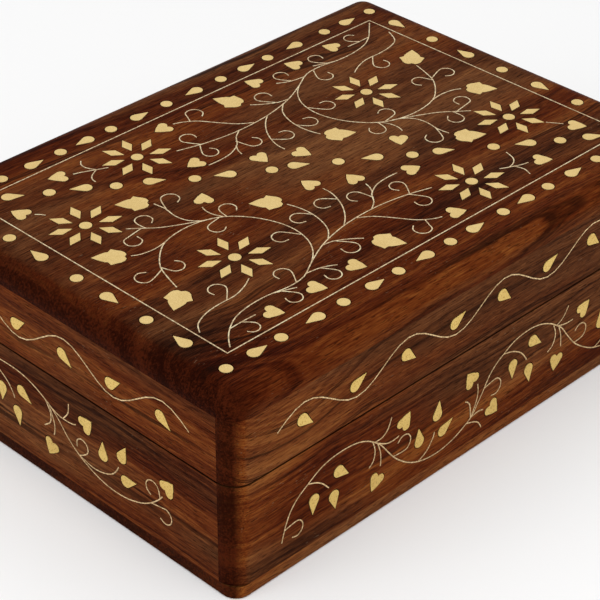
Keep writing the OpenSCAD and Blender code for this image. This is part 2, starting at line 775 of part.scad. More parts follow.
// The room a knuckle of the other leaf turns in
module knuckle_room(x, which) {
    step = knuckle_l + hinge_gap;
    for (i = which == 0 ? [0, 2] : [1])
        axle(x - hinge_l / 2 + i * step - hinge_gap, x - hinge_l / 2 + i * step + knuckle_l + hinge_gap,
            notch_r);
}

// A hinge leaf: up = 1 for the lid's leaf, -1 for the box's
module hinge_leaf(x, up) {
    own = up > 0 ? 1 : 0;
    bore_r = pin_r + (up > 0 ? pin_clearance : pin_seat);
    low_z = up > 0 ? seam_z + leaf_gap : seam_z - leaf_gap - leaf_t;
    plate_w = leaf_reach - pin_r - CUT;
    color(HINGE)
        difference() {
            union() {
                difference() {
                    translate([x - hinge_l / 2, axis_y - leaf_reach, low_z])
                        cube([hinge_l, plate_w, leaf_t]);
                    knuckle_room(x, 1 - own);
                }
                knuckles(x, own, barrel_r);
            }
            axle(x - hinge_l, x + hinge_l, bore_r);
            at_screws(up, [x])
                screw_hole();
        }
}

module hinge_pin(x) {
    color(HINGE)
        axle(x - hinge_l / 2, x + hinge_l / 2, pin_r);
}

// The room for a hinge in a board's edge: up = 1 above the seam, -1 below it
module hinge_mortise(x, up) {
    low_z = up > 0 ? seam_z - CUT : seam_z - leaf_gap - leaf_t;
    translate([x - hinge_l / 2 - hinge_gap, axis_y - leaf_reach - screw_gap, low_z])
        cube([hinge_l + 2 * hinge_gap, leaf_reach + CUT, leaf_gap + leaf_t + CUT]);
    axle(x - hinge_l / 2 - hinge_gap, x + hinge_l / 2 + hinge_gap, notch_r);
    at_screws(up, [x])
        screw_hole();
}

// ---------------------------------------------------------------- wooden sub-parts

module base_board() {
    color(WOOD)
        translate([0, 0, base_t])
            mirror([0, 0, 1])
                moulded_slab(box_l, box_w, base_t, base_corner_r, base_edge_r);
}

module body_front() {
    color(WOOD_LIGHT)
        difference() {
            translate([0, 0, base_t])
                long_board(board_h);
            body_side_recesses(0, true);
        }
}

module body_back() {
    color(WOOD_LIGHT)
        difference() {
            translate([0, 0, base_t])
                rotate(180)
                    long_board(board_h);
            body_side_recesses(180, true);
            for (x = [-hinge_x, hinge_x])
                hinge_mortise(x, -1);
        }
}

module body_left() {
    color(WOOD)
        difference() {
            translate([0, 0, base_t])
                end_board(board_h);
            body_side_recesses(270, false);
        }
}

module body_right() {
    color(WOOD)
        difference() {
            translate([0, 0, base_t])
                rotate(180)
                    end_board(board_h);
            body_side_recesses(90, false);
        }
}

module lid_top() {
    color(WOOD)
        difference() {
            translate([0, 0, top_z - top_t])
                moulded_slab(box_l, box_w, top_t, corner_r, top_round);
            on_top() {
                recess()
                    border_wire_2d(groove_gap);
                recess()
                    top_vine_2d(false, groove_gap);
                recess()
                    far_half()
                        top_vine_2d(true, groove_gap);
                recess()
                    border_dots_2d(filler_gap);
                recess()
                    border_drops_2d(filler_gap);
                recess()
                    middle_dots_2d(filler_gap);
                recess()
                    middle_drops_2d(filler_gap);
                recess()
                    flower_petals_2d(filler_gap);
                recess()
                    flower_centres_2d(filler_gap);
                recess()
                    top_leaves_2d(filler_gap);
                recess()
                    top_hearts_2d(filler_gap);
            }
        }
}

module lid_front() {
    color(WOOD_LIGHT)
        difference() {
            translate([0, 0, lid_z])
                long_board(rim_h);
            lid_side_recesses(0, LONG_WAVE);
        }
}

module lid_back() {
    color(WOOD_LIGHT)
        difference() {
            translate([0, 0, lid_z])
                rotate(180)
                    long_board(rim_h);
            lid_side_recesses(180, LONG_WAVE);
            for (x = [-hinge_x, hinge_x])
                hinge_mortise(x, 1);
        }
}

module lid_left() {
    color(WOOD)
        difference() {
            translate([0, 0, lid_z])
                end_board(rim_h);
            lid_side_recesses(270, END_WAVE);
        }
}

module lid_right() {
    color(WOOD)
        difference() {
            translate([0, 0, lid_z])
                rotate(180)
                    end_board(rim_h);
            lid_side_recesses(90, END_WAVE);
        }
}

// ---------------------------------------------------------------- linings

module velvet_pad(z) {
    color(VELVET)
        translate([lining_gap - inner_l / 2, lining_gap - inner_w / 2, z])
            cube([inner_l - 2 * lining_gap, inner_w - 2 * lining_gap, lining_t]);
}

module tray_lining() {
    velvet_pad(base_t);
}

module lid_lining() {
    velvet_pad(top_z - top_t - lining_t);
}

// ---------------------------------------------------------------- metal sub-parts

module left_hinge_body_leaf() {
    hinge_leaf(-hinge_x, -1);
}

module left_hinge_lid_leaf() {
    hinge_leaf(-hinge_x, 1);
}

module left_hinge_pin() {
    hinge_pin(-hinge_x);
}

module right_hinge_body_leaf() {
    hinge_leaf(hinge_x, -1);
}

module right_hinge_lid_leaf() {
    hinge_leaf(hinge_x, 1);
}

module right_hinge_pin() {
    hinge_pin(hinge_x);
}

module body_leaf_screws() {
    color(HINGE)
        at_screws(-1, [-hinge_x, hinge_x])
            screw();
}

module lid_leaf_screws() {
    color(HINGE)
        at_screws(1, [-hinge_x, hinge_x])
            screw();
}

// ---------------------------------------------------------------- brass on the lid's top

module border_wire() {
    on_top()
        brass_wire()
            border_wire_2d(0);
}

module border_dots() {
    on_top()
        brass()
            border_dots_2d(0);
}

module border_drops() {
    on_top()
        brass()
            border_drops_2d(0);
}

module middle_dots() {
    on_top()
        brass()
            middle_dots_2d(0);
}

module middle_drops() {
    on_top()
        brass()
            middle_drops_2d(0);
}

module flower_petals() {
    on_top()
        brass()
            flower_petals_2d(0);
}

module flower_centres() {
    on_top()
        brass()
            flower_centres_2d(0);
}

module top_leaves() {
    on_top()
        brass()
            top_leaves_2d(0);
}

module top_hearts() {
    on_top()
        brass()
            top_hearts_2d(0);
}

module top_vine_near() {
    on_top()
        brass_wire()
            top_vine_2d(false, 0);
}

module top_vine_far() {
    on_top()
        brass_wire()
            far_half()
                top_vine_2d(true, 0);
}

// ---------------------------------------------------------------- brass on the sides

module side_wave(turn, wave) {
    on_side(turn, top_z)
        brass_wire()
            wave_2d(wave, 0);
}

module side_wave_drops(turn, wave) {
    on_side(turn, top_z)
        brass()
            wave_drops_2d(wave, 0);
}

module side_vine(turn, is_long) {
    on_side(turn, vine_z)
        brass_wire()
            vine_2d(is_long, 0);
}

module side_hearts(turn, is_long) {
    on_side(turn, vine_z)
        brass()
            vine_hearts_2d(is_long, 0);
}

module side_drops(turn, is_long) {
    on_side(turn, vine_z)
        brass()
            vine_drops_2d(is_long, 0);
}

// ---------------------------------------------------------------- assembly

base_board();
body_front();
body_back();
body_left();
body_right();
lid_top();
lid_front();
lid_back();
lid_left();
lid_right();
tray_lining();
lid_lining();
left_hinge_body_leaf();
left_hinge_lid_leaf();
left_hinge_pin();
right_hinge_body_leaf();
right_hinge_lid_leaf();
right_hinge_pin();
body_leaf_screws();
lid_leaf_screws();
border_wire();
border_dots();
border_drops();
middle_dots();
middle_drops();
flower_petals();
flower_centres();
top_leaves();
top_hearts();
top_vine_near();
top_vine_far();
side_wave(0, LONG_WAVE);  // lid_front_wave
side_wave(90, END_WAVE);  // lid_right_wave
side_wave(180, LONG_WAVE);  // lid_back_wave
side_wave(270, END_WAVE);  // lid_left_wave
side_wave_drops(0, LONG_WAVE);  // lid_front_drops
side_wave_drops(90, END_WAVE);  // lid_right_drops
side_wave_drops(180, LONG_WAVE);  // lid_back_drops
side_wave_drops(270, END_WAVE);  // lid_left_drops
side_vine(0, true);  // body_front_vine
side_vine(90, false);  // body_right_vine
side_vine(180, true);  // body_back_vine
side_vine(270, false);  // body_left_vine
side_hearts(0, true);  // body_front_hearts
side_hearts(90, false);  // body_right_hearts
side_hearts(180, true);  // body_back_hearts
side_hearts(270, false);  // body_left_hearts
side_drops(0, true);  // body_front_drops
side_drops(90, false);  // body_right_drops
side_drops(180, true);  // body_back_drops
side_drops(270, false);  // body_left_drops
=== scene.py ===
"""The looks of the inlaid wooden box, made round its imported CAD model.

Metres, in the CAD model's own frame: +X along the box, -Y the front, +Z up.
"""

import json
import math
from collections import namedtuple

import bmesh
import bpy
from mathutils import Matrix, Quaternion, Vector, noise


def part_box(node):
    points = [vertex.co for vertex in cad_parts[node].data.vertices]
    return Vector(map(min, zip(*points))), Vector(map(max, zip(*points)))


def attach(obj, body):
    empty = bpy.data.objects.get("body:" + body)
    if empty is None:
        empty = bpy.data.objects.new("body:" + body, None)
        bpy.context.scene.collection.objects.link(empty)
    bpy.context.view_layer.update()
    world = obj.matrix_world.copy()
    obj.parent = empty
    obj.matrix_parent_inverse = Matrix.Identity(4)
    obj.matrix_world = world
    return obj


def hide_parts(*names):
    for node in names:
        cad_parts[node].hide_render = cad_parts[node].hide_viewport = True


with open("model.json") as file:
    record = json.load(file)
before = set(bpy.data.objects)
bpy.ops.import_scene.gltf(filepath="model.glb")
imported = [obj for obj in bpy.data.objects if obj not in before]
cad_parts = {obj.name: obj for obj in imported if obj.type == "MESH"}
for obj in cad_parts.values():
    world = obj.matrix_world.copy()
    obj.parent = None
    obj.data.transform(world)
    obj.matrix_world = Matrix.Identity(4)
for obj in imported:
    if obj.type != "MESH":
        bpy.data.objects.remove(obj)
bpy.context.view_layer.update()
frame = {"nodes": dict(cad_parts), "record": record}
nodes = frame["nodes"]

MM = 0.001
SIDES = ("front", "back", "left", "right")

# ---------------------------------------------------------------- node graphs


class Graph:
    """A material, with short names for the nodes that it is built from."""

    # A Mix node's colour sockets, which share their names with its number sockets
    FIRST_COLOUR = 6
    SECOND_COLOUR = 7
    MIXED_COLOUR = 2

    def __init__(self, name, **settings):
        self.material = bpy.data.materials.new(name)
        self.material.use_nodes = True
        self.tree = self.material.node_tree
        self.tree.nodes.clear()
        output = self.tree.nodes.new("ShaderNodeOutputMaterial")
        self.shader = self.tree.nodes.new("ShaderNodeBsdfPrincipled")
        self.tree.links.new(self.shader.outputs[0], output.inputs["Surface"])
        for socket, value in settings.items():
            self.shader.inputs[socket.replace("_", " ")].default_value = value
        coordinates = self.tree.nodes.new("ShaderNodeTexCoord")
        self.place = coordinates.outputs["Object"]
        self.normal = coordinates.outputs["Normal"]

    def feed(self, socket, value):
        if isinstance(value, bpy.types.NodeSocket):
            self.tree.links.new(value, socket)
        else:
            socket.default_value = value

    def shade(self, socket, value):
        self.feed(self.shader.inputs[socket], value)

    def math(self, operation, *values, clamp=False):
        node = self.tree.nodes.new("ShaderNodeMath")
        node.operation = operation
        node.use_clamp = clamp
        for socket, value in zip(node.inputs, values):
            self.feed(socket, value)
        return node.outputs[0]

    def split(self, vector):
        node = self.tree.nodes.new("ShaderNodeSeparateXYZ")
        self.feed(node.inputs[0], vector)
        return node.outputs[0], node.outputs[1], node.outputs[2]

    def mapped(self, vector, scale=(1, 1, 1), turn=(0, 0, 0), shift=(0, 0, 0)):
        node = self.tree.nodes.new("ShaderNodeMapping")
        self.feed(node.inputs["Vector"], vector)
        node.inputs["Scale"].default_value = scale
        node.inputs["Rotation"].default_value = turn
        node.inputs["Location"].default_value = shift
        return node.outputs[0]

    def noise(self, vector, scale=1.0, detail=2.0, roughness=0.5):
        node = self.tree.nodes.new("ShaderNodeTexNoise")
        self.feed(node.inputs["Vector"], vector)
        node.inputs["Scale"].default_value = scale
        node.inputs["Detail"].default_value = detail
        node.inputs["Roughness"].default_value = roughness
        return node.outputs[0]

    def noise_along(self, value, detail, roughness):
        """Noise that varies with one value only."""
        node = self.tree.nodes.new("ShaderNodeTexNoise")
        node.noise_dimensions = "1D"
        self.feed(node.inputs["W"], value)
        node.inputs["Scale"].default_value = 1.0
        node.inputs["Detail"].default_value = detail
        node.inputs["Roughness"].default_value = roughness
        return node.outputs[0]

    def cells(self, vector, scale):
        """The distance to the nearest of some scattered points."""
        node = self.tree.nodes.new("ShaderNodeTexVoronoi")
        self.feed(node.inputs["Vector"], vector)
        node.inputs["Scale"].default_value = scale
        return node.outputs["Distance"]

    def sway(self, value, waves, span):
        """value, moved up and down by waves of noise, over a span."""
        return self.math("ADD", value, self.math("MULTIPLY_ADD", waves, span, -span / 2))

    def length(self, *parts):
        """The length of the vector with these parts."""
        squares = [self.math("MULTIPLY", part, part) for part in parts]
        total = squares[0]
        for square in squares[1:]:
            total = self.math("ADD", total, square)
        return self.math("SQRT", total)

    def step(self, value, low, high, to_low=0.0, to_high=1.0):
        """A smooth step from to_low to to_high as value goes from low to high."""
        node = self.tree.nodes.new("ShaderNodeMapRange")
        node.interpolation_type = "SMOOTHSTEP"
        for socket, number in zip(node.inputs, (value, low, high, to_low, to_high)):
            self.feed(socket, number)
        return node.outputs[0]

    def ramp(self, value, stops):
        """The colour at value, on a ramp of places and their colours."""
        node = self.tree.nodes.new("ShaderNodeValToRGB")
        elements = node.color_ramp.elements
        while len(elements) < len(stops):
            elements.new(0.5)
        for element, (position, colour) in zip(elements, stops):
            element.position = position
            element.color = (*colour, 1)
        self.feed(node.inputs[0], value)
        return node.outputs[0]

    def mix(self, amount, first, second, how="MIX"):
        node = self.tree.nodes.new("ShaderNodeMix")
        node.data_type = "RGBA"
        node.blend_type = how
        self.feed(node.inputs[0], amount)
        for index, colour in ((self.FIRST_COLOUR, first), (self.SECOND_COLOUR, second)):
            self.feed(node.inputs[index], (*colour, 1) if isinstance(colour, tuple) else colour)
        return node.outputs[self.MIXED_COLOUR]

    def bump(self, height, distance, strength):
        node = self.tree.nodes.new("ShaderNodeBump")
        node.inputs["Strength"].default_value = strength
        node.inputs["Distance"].default_value = distance
        self.feed(node.inputs["Height"], height)
        self.shade("Normal", node.outputs[0])


def dress(name, material):
    for slot in nodes[name].material_slots:
        slot.material = material


# ---------------------------------------------------------------- wood

# Tones of the oiled hardwood, from black to orange, where it is brown and where it is red
BROWN_TONES = (
    (0.25, (0.012, 0.0038, 0.0018)),
    (0.37, (0.034, 0.0100, 0.0040)),
    (0.50, (0.080, 0.0250, 0.0084)),
    (0.62, (0.128, 0.0440, 0.0150)),
    (0.76, (0.215, 0.0840, 0.0270)),
)
RED_TONES = (
    (0.25, (0.012, 0.0020, 0.0008)),
    (0.37, (0.038, 0.0055, 0.0016)),
    (0.50, (0.088, 0.0160, 0.0036)),
    (0.62, (0.150, 0.0360, 0.0072)),
    (0.76, (0.240, 0.0760, 0.0150)),
)
BLACK = (0.010, 0.0030, 0.0014)
END_GRAIN = (0.013, 0.0022, 0.0009)
END_FLECK = (0.050, 0.0085, 0.0026)
DUST = (0.20, 0.115, 0.065)

# How many waves of tone there are to a metre, counted across the growth rings
BAND_RATE = 85
STREAK_RATE = 230
LINE_RATE = 700

# How far each part of the figure moves the tone, and the tone that it starts from
BAND_SPAN = 0.46
LINE_SPAN = 0.36
CLOUD_SPAN = 0.30
FIBRE_SPAN = 0.42
DASH_SPAN = 0.30
BASE_TONE = -0.07

# A soft ball where the grain bends and the wood is darker, or paler with a depth below 0
Knot = namedtuple("Knot", "middle size depth bend")


class Wood(Graph):
    """Satin hardwood, cut as a board whose grain runs along X, or along Y."""

    def __init__(self, name, seed, along_y):
        super().__init__(name, Specular_IOR_Level=0.006, Specular_Tint=(1.0, 0.6, 0.35, 1))
        quarter_turn = (0, 0, -math.pi / 2) if along_y else (0, 0, 0)
        facing = self.mapped(self.normal, turn=quarter_turn)
        self.seed = seed
        self.turned = self.mapped(self.place, turn=quarter_turn)
        self.along, self.across, self.up = self.split(self.turned)
        self.faces_end, self.faces_side, self.faces_up = self.split(facing)

    def grain(self, along, across, shift, detail=2, roughness=0.5):
        """Noise drawn out along the grain, with so many waves to the metre along and across it."""
        stretched = self.mapped(self.turned, scale=(along, across, across), shift=shift)
        return self.noise(stretched, detail=detail, roughness=roughness)

    def ringed(self, ring, rate, start, detail, roughness):
        """Noise that varies from ring to ring only."""
        return self.noise_along(self.math("MULTIPLY_ADD", ring, rate, start), detail, roughness)

    def rings(self, pith):
        """The distance from the pith, as the grain wanders slowly along the board and trembles."""
        sideways = self.math("SUBTRACT", self.across, pith[0])
        upwards = self.math("SUBTRACT", self.up, pith[1])
        wander = self.grain(5, 18, (self.seed, 0, 0), detail=1)
        tremble = self.grain(28, 90, (self.seed, 3, 0))
        ring = self.sway(self.length(sideways, upwards), wander, 26 * MM)
        return self.sway(ring, tremble, 5 * MM)

    def bent_round(self, knots, ring):
        """The rings bent round the knots, and the shadow that the knots cast on the tone."""
        shadow = 0.0
        for knot in knots:
            offset = self.split(self.mapped(self.place, shift=[-c for c in knot.middle]))
            near = self.step(self.length(*offset), knot.size, 0)
            ring = self.math("MULTIPLY_ADD", near, knot.bend, ring)
            shadow = self.math("MULTIPLY_ADD", near, knot.depth, shadow)
        return ring, shadow

    def figure(self, ring, bands):
        """The tone of broad bands and fine lines, on clouds of darker heartwood."""
        lines = self.ringed(ring, LINE_RATE, self.seed + 7, detail=3, roughness=0.66)
        cloud = self.grain(9, 42, (self.seed, 5, 2), detail=3)
        tone = self.math("MULTIPLY_ADD", bands, BAND_SPAN, self.math("MULTIPLY", lines, LINE_SPAN))
        return self.math("MULTIPLY_ADD", cloud, CLOUD_SPAN, tone)

    def toned(self, tone, red):
        """The colour of a tone: redder in places at random, and redder on rounded edges as a painted red
        reflection.
        """
        flat_up = self.math("ABSOLUTE", self.faces_up)
        flat_side = self.math("ABSOLUTE", self.faces_side)
        squareness = self.math("MAXIMUM", flat_up, flat_side)
        redness = self.grain(11, 60, (self.seed, 2, 8))
        redness = self.math("ADD", self.step(redness, 0.36, 0.64), red)
        # Rounded edges turn redder: a painted red reflection
        redness = self.math("ADD", redness, self.step(squareness, 0.995, 0.90, 0.0, 0.7), clamp=True)
        return self.mix(redness, self.ramp(tone, BROWN_TONES), self.ramp(tone, RED_TONES))

    def streaked(self, colour, ring):
        """Black mineral streaks along a few of the rings."""
        streak = self.ringed(ring, STREAK_RATE, self.seed + 31, detail=3, roughness=0.75)
        fading = self.grain(18, 70, (self.seed, 9, 4))
        streak = self.math("MULTIPLY", self.step(streak, 0.58, 0.66), self.step(fading, 0.40, 0.58))
        return self.mix(self.math("MULTIPLY", streak, 0.70), colour, BLACK)

    def dusted(self, colour):
        """A little pale dust, caught in patches."""
        speck = self.grain(900, 2600, (self.seed, self.seed, 1), detail=0)
        patch = self.grain(40, 90, (2, self.seed, 6), detail=1)
        speck = self.math("MULTIPLY", self.step(speck, 0.76, 0.83), self.step(patch, 0.54, 0.68))
        return self.mix(self.math("MULTIPLY", speck, 0.5), colour, DUST)

    def end_grain(self, dark_ends):
        """How much of the dark end grain shows: on the ends, and near them if they are stained."""
        end = self.step(self.math("MULTIPLY", self.faces_end, self.faces_end), 0.06, 0.60)
        if not dark_ends:
            return end
        half_length, reach = dark_ends
        edge = half_length - 6 * MM
        stain = self.noise(self.mapped(self.place, scale=(60, 60, 60), shift=(self.seed, 0, 0)), detail=3)
        inward = self.math("MULTIPLY_ADD", stain, -12 * MM, self.math("ABSOLUTE", self.along))
        return self.math("MAXIMUM", end, self.step(inward, edge - reach, edge, 0, 0.85))

    def shade_rim(self, colour, rim):
        """The upper face, or for rim -1 the lower one, darkened with painted shade where the boards meet
        other parts.
        """
        painted_shade = self.step(self.math("MULTIPLY", self.faces_up, rim), 0.80, 0.97, 0.0, 0.78)
        return self.mix(painted_shade, colour, BLACK)


def board(node, seed, pith, along_y=False, gain=1.0, light=0.0, red=0.0, knots=(), dark_ends=None, rim=0):
    """Dresses a board in satin hardwood of its own.

    pith is where the tree's heart lies across the grain. gain scales the colour, light
    moves the tone towards orange, and red moves it towards the redder tones. dark_ends is
    the place of the board's ends and how far they darken. rim is 1 to paint shade on the
    board's upper face, and -1 to paint it on the lower one, where the boards meet other parts.
    """
    g = Wood("wood_" + node, seed, along_y)
    ring, shadow = g.bent_round(knots, g.rings(pith))
    bands = g.ringed(ring, BAND_RATE, seed, detail=2, roughness=0.55)
    tone = g.math("ADD", g.figure(ring, bands), light + BASE_TONE)
    tone = g.math("SUBTRACT", tone, shadow)

    # Fibres and their short dark dashes
    fibre = g.grain(95, 2300, (seed, 0, 0), detail=3, roughness=0.7)
    dash = g.grain(280, 3700, (seed, 8, 0), detail=1, roughness=0.6)
    tone = g.sway(g.sway(tone, fibre, FIBRE_SPAN), dash, DASH_SPAN)
    colour = g.streaked(g.toned(tone, red), ring)

    # Open pores, and a little pale dust caught in some of them
    pore = g.step(g.grain(330, 3600, (0, seed, 0), detail=1), 0.60, 0.68)
    colour = g.dusted(g.mix(g.math("MULTIPLY", pore, 0.62), colour, BLACK))

    # End grain takes the oil and goes nearly black, with reddish flecks
    end = g.end_grain(dark_ends)
    fleck = g.grain(700, 1500, (seed, 1, 1), detail=3, roughness=0.75)
    fleck = g.step(g.math("MULTIPLY_ADD", bands, 0.5, fleck), 0.66, 0.92)
    colour = g.mix(g.math("MULTIPLY", end, 0.94), colour, g.mix(fleck, END_GRAIN, END_FLECK))
    # Painted shade on the face where the board meets the other parts
    if rim:
        colour = g.shade_rim(colour, rim)

    smear = g.grain(40, 90, (1, 2, seed), detail=3)
    relief = g.math("MULTIPLY_ADD", fibre, 0.4, g.math("MULTIPLY", pore, -1.0))
    relief = g.math("MULTIPLY_ADD", fleck, g.math("MULTIPLY", end, 0.5), relief)
    g.shade("Base Color", g.mix(1.0, colour, (gain, gain, gain), "MULTIPLY"))
    g.shade("Roughness", g.math("MULTIPLY_ADD", pore, 0.2, g.step(smear, 0.3, 0.7, 0.32, 0.46)))
    g.bump(relief, 0.06 * MM, 0.7)
    dress(node, g.material)


def make_wood():
    """The boards, with the photograph's darker and lighter zones on those that show in it."""
    end, side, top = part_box("lid_top")[1]
    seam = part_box("lid_front")[0].z

    dark_corner = Knot((-end, -side + 18 * MM, top), size=34 * MM, depth=0.20, bend=9.5 * MM)
    pale_band = Knot((6 * MM, 2 * MM, top), size=34 * MM, depth=-0.05, bend=0)
    pale_end = Knot((-end + 20 * MM, -side, seam + 12 * MM), size=32 * MM, depth=-0.13, bend=7 * MM)
    glow = Knot((-end + 12 * MM, -side, seam - 5 * MM), size=24 * MM, depth=-0.12, bend=2 * MM)
    shade = Knot((-end + 24 * MM, -side, 10 * MM), size=32 * MM, depth=0.15, bend=0)

    top_knots = [dark_corner, pale_band]
    board("lid_top", 1.7, (4 * MM, 0), gain=0.90, knots=top_knots, dark_ends=(end, 8 * MM))
    board("lid_front", 4.2, (20 * MM - side, -20 * MM), light=0.03, red=-0.35, knots=[pale_end], rim=-1)
    board("body_front", 8.9, (10 * MM - side, -60 * MM), light=0.04, knots=[glow, shade], rim=1)
    board("lid_back", 12.4, (side - 20 * MM, -20 * MM), rim=-1)
    board("body_back", 15.1, (side - 10 * MM, -60 * MM), rim=1)
    board("lid_left", 21.3, (end - 30 * MM, 70 * MM), along_y=True, light=0.02, red=-0.15, rim=-1)
    board("body_left", 26.8, (end - 10 * MM, -50 * MM), along_y=True, light=0.04, red=-0.15, rim=1)
    board("lid_right", 33.5, (20 * MM - end, -20 * MM), along_y=True, rim=-1)
    board("body_right", 38.6, (10 * MM - end, -50 * MM), along_y=True, rim=1)
    board("base_board", 44.9, (10 * MM, 50 * MM), light=0.20, rim=1)


# ---------------------------------------------------------------- brass


def sheet_brass(name, colour, pitted):
    """Cut brass sheet, sanded flush and left matt and finely speckled, or pitted."""
    g = Graph(name, Metallic=1.0)
    speckle = g.noise(g.place, scale=4200, detail=2, roughness=0.7)
    bloom = g.noise(g.place, scale=120, detail=2)
    tone = g.mix(g.step(speckle, 0.34, 0.66), (0.86, 0.84, 0.80), (1.06, 1.06, 1.08))
    tone = g.mix(g.step(bloom, 0.35, 0.65, 0.0, 0.35), tone, (0.86, 0.80, 0.66), "MULTIPLY")
    pits = g.step(g.cells(g.place, scale=1500), 0.18, 0.42)
    tone = g.mix(g.math("SUBTRACT", pitted, g.math("MULTIPLY", pits, pitted)), tone, (0.50, 0.38, 0.18))
    g.shade("Base Color", g.mix(1.0, colour, tone, "MULTIPLY"))
    g.shade("Roughness", g.step(speckle, 0.3, 0.7, 0.55, 0.42))
    scratch = g.noise(g.mapped(g.place, scale=(260, 3800, 3800), turn=(0, 0, 0.5)), detail=1)
    g.bump(g.math("MULTIPLY_ADD", speckle, 0.7, g.math("MULTIPLY", scratch, 0.3)), 0.03 * MM, 0.5)
    return g.material


def wire_brass(name, colour):
    """Soft brass wire hammered into its groove: pale, beaded and a little uneven."""
    g = Graph(name, Metallic=1.0)
    bead = g.noise(g.place, scale=1500, detail=1)
    wear = g.noise(g.place, scale=260, detail=2)
    tone = g.mix(g.step(bead, 0.36, 0.64), (0.66, 0.62, 0.58), (1.15, 1.15, 1.15))
    tone = g.mix(g.step(wear, 0.40, 0.62, 0.0, 0.5), tone, (0.80, 0.72, 0.62), "MULTIPLY")
    g.shade("Base Color", g.mix(1.0, colour, tone, "MULTIPLY"))
    g.shade("Roughness", g.step(bead, 0.3, 0.7, 0.50, 0.34))
    g.bump(bead, 0.06 * MM, 0.6)
    return g.material


def hinge_brass(name):
    """Drawn brass strip with a light tarnish."""
    g = Graph(name, Metallic=1.0)
    drawn = g.noise(g.mapped(g.place, scale=(180, 2600, 2600)), detail=2)
    tarnish = g.noise(g.place, scale=320, detail=4, roughness=0.65)
    tone = g.mix(g.step(tarnish, 0.42, 0.68), (0.62, 0.42, 0.16), (0.24, 0.15, 0.06))
    g.shade("Base Color", g.mix(0.5, tone, g.mix(drawn, (0.7, 0.7, 0.7), (1.3, 1.3, 1.3)), "MULTIPLY"))
    g.shade("Roughness", g.step(tarnish, 0.35, 0.7, 0.28, 0.55))
    g.bump(drawn, 0.02 * MM, 0.5)
    return g.material


def screw_brass(name):
    """Turned brass, brighter than the hinge, with fine turning marks and dirt."""
    g = Graph(name, Metallic=1.0)
    dirt = g.noise(g.place, scale=900, detail=3, roughness=0.6)
    turning = g.noise(g.mapped(g.place, scale=(300, 300, 5200)), detail=1)
    g.shade("Base Color", g.mix(g.step(dirt, 0.48, 0.72), (0.74, 0.54, 0.24), (0.30, 0.19, 0.08)))
    g.shade("Roughness", g.step(dirt, 0.3, 0.7, 0.22, 0.50))
    g.bump(turning, 0.01 * MM, 0.4)
    return g.material


def make_brass():
    """Pale, matt pieces on the lid's top; on the sides, more pitted ones, made darker as painted shade.
    """
    hinges = {"hinge_brass": hinge_brass("brass_hinge"), "screw_brass": screw_brass("brass_screw")}
    on_top = {
        "sheet_brass": sheet_brass("brass_sheet_top", (0.93, 0.70, 0.30), pitted=0.0),
        "wire_brass": wire_brass("brass_wire_top", (0.98, 0.78, 0.50)),
    }
    # Darker colours on the upright sides: painted shade, with more pits as well
    shaded_on_sides = {
        "sheet_brass": sheet_brass("brass_sheet_side_shaded", (0.79, 0.57, 0.18), pitted=0.55),
        "wire_brass": wire_brass("brass_wire_side_shaded", (0.80, 0.58, 0.31)),
    }
    for part in frame["record"]["subparts"]:
        on_a_side = any("_%s_" % side in part["node"] for side in SIDES)
        finishes = {**hinges, **(shaded_on_sides if on_a_side else on_top)}
        if part["material_slot"] in finishes:
            dress(part["node"], finishes[part["material_slot"]])


# ---------------------------------------------------------------- velvet


def velvet(name):
    """Short-pile cotton velvet, brushed unevenly by hand."""
    deep = (0.042, 0.0018, 0.0040)
    lit = (0.150, 0.0070, 0.0120)
    brushing = (0, 0, 0.25)
    g = Graph(name, Roughness=0.95, Specular_IOR_Level=0.05, Sheen_Weight=0.22, Sheen_Roughness=0.4)
    g.shader.inputs["Sheen Tint"].default_value = (1.0, 0.16, 0.18, 1)
    tuft = g.noise(g.place, scale=2600, detail=3, roughness=0.8)
    stroke = g.noise(g.mapped(g.place, scale=(14, 70, 70), turn=brushing), detail=3, roughness=0.6)
    lay = g.noise(g.mapped(g.place, scale=(60, 260, 260), turn=brushing), detail=2)
    tone = g.math("MULTIPLY_ADD", stroke, 0.42, g.math("MULTIPLY_ADD", tuft, 0.62, -0.05))
    tone = g.math("MULTIPLY_ADD", lay, 0.24, g.math("SUBTRACT", tone, 0.10))
    g.shade("Base Color", g.ramp(tone, [(0.34, deep), (0.78, lit)]))
    g.bump(g.math("MULTIPLY_ADD", lay, 0.6, tuft), 0.15 * MM, 0.9)
    return g.material


# Steps over the fold at a pad's edge, as shares of its width, and the spacing inside them
FOLD_STEPS = (0, 0.06, 0.18, 0.36, 0.62, 1)
CLOTH_SPACING = 5 * MM

# A pad's fold, as a share of its thickness, and how its height is made up: at its edge,
# what the fold adds, and the crown in the middle
FOLD = 0.9
EDGE = 0.42
FOLD_RISE = 0.38
CROWN = 0.12


def steps_along(half, fold):
    """Places from -half to half, close together where the cloth folds over the edge."""
    near_edge = [half - fold * share for share in FOLD_STEPS]
    count = round(2 * near_edge[-1] / CLOTH_SPACING)
    middle = [near_edge[-1] * (2 * i / count - 1) for i in range(1, count)]
    return [-place for place in near_edge] + middle + near_edge[::-1]


def cloth_height(x, y, half, fold):
    """How high a pad's cloth lies: folded over at the edge, then crowned and rippled."""
    thick = 2 * half.z
    inward = min(half.x - abs(x), half.y - abs(y))
    over = 1 - min(inward / fold, 1)
    crown = (1 - (x / half.x) ** 2) * (1 - (y / half.y) ** 2)
    broad_ripple = noise.noise(Vector((x, y, 0)) * 55) * 0.05
    fine_ripple = noise.noise(Vector((x, y, 1)) * 160) * 0.02
    ripple = (broad_ripple + fine_ripple) * (1 - over)
    return thick * (EDGE + FOLD_RISE * math.sqrt(1 - over * over) + CROWN * crown + ripple)


